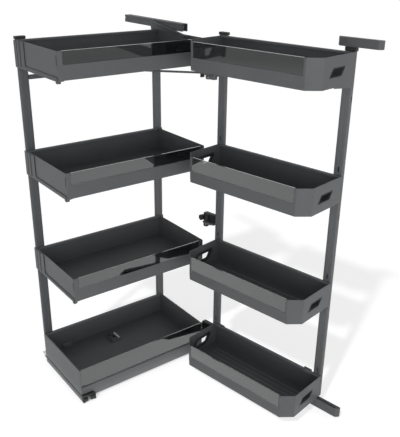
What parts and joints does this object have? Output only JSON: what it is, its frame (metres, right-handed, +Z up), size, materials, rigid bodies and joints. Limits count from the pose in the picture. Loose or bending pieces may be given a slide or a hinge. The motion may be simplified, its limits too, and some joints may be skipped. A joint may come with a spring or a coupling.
{
  "type": "tall pantry pull-out",
  "caption": "Tall pantry pull-out: a rack of deep trays on floor rails, drawn forward by a link rod as a hinged rack of door trays swings open.",
  "frame": {"origin": "middle of the left floor rail's underside, on the cabinet's floor", "axes": "+X along the cabinet's width towards the hinge side, +Y into the cabinet, +Z up"},
  "size_m": [0.5827, 0.9382, 1.0797],
  "materials": {
    "coat": "satin powder coat",
    "dark_coat": "satin powder coat",
    "smoked_glass": "polished",
    "black_plastic": "moulded",
    "steel": "bright zinc plate"
  },
  "bodies": {
    "cabinet_side": {"floor_rail_left": "steel", "floor_rail_right": "steel", "top_guide_rail": "dark_coat", "hinge_plate_bottom": "dark_coat", "hinge_pin_bottom": "steel", "hinge_plate_middle": "dark_coat", "hinge_pin_middle": "steel", "hinge_plate_top": "dark_coat", "hinge_pin_top": "steel"},
    "inner_rack": {"inner_upright_left": "coat", "inner_upright_right": "coat", "inner_upright_cap": "black_plastic", "inner_tray_1": "coat", "inner_tray_2": "coat", "inner_tray_3": "coat", "inner_tray_4": "coat", "inner_glass_1": "smoked_glass", "inner_glass_2": "smoked_glass", "inner_glass_3": "smoked_glass", "inner_glass_4": "smoked_glass", "tray_arm_left_1": "coat", "tray_arm_right_1": "coat", "tray_arm_left_2": "coat", "tray_arm_right_2": "coat", "tray_arm_left_3": "coat", "tray_arm_right_3": "coat", "inner_base_frame": "coat", "inner_cross_bar": "dark_coat", "tray_lock_plate": "black_plastic", "tray_lock_pin": "steel", "link_pin_inner": "steel", "top_carriage": "dark_coat", "top_glide_front": "black_plastic", "top_glide_rear": "black_plastic", "runner_channel_left": "coat", "runner_end_cap_left": "black_plastic", "runner_channel_right": "coat", "runner_end_cap_right": "black_plastic"},
    "door_rack": {"door_upright_hinge_side": "coat", "door_upright_free_side": "coat", "door_cap_hinge_side": "black_plastic", "door_cap_free_side": "black_plastic", "door_tray_1": "coat", "door_tray_2": "coat", "door_tray_3": "coat", "door_tray_4": "coat", "door_glass_1": "smoked_glass", "door_glass_2": "smoked_glass", "door_glass_3": "smoked_glass", "door_glass_4": "smoked_glass", "door_bar_top": "dark_coat", "door_bar_bottom": "dark_coat", "hinge_arm_bottom": "dark_coat", "hinge_arm_middle": "dark_coat", "hinge_arm_top": "dark_coat", "link_bracket": "dark_coat", "link_pin_door": "steel"},
    "link_rod": {"link_rod": "steel"}
  },
  "joints": [
    {"name": "door_swing", "type": "hinge", "parent": "cabinet_side", "child": "door_rack", "pos_m": [0.456, -0.146, 0], "axis": [0, 0, 1], "range_deg": [-100, 0]},
    {"name": "inner_slide", "type": "slide", "parent": "cabinet_side", "child": "inner_rack", "axis": [0, 1, 0], "range_m": [0, 0.1843]},
    {"name": "rod_swing", "type": "hinge", "parent": "door_rack", "child": "link_rod", "pos_m": [0.4546, -0.2417, 0.95], "axis": [0, 0, 1], "range_deg": [0, 85.9]}
  ],
  "couplings": [
    {"joint": "inner_slide", "follows": "door_swing", "m_per_rad": -0.10555},
    {"joint": "rod_swing", "follows": "door_swing", "ratio": -0.85859}
  ]
}
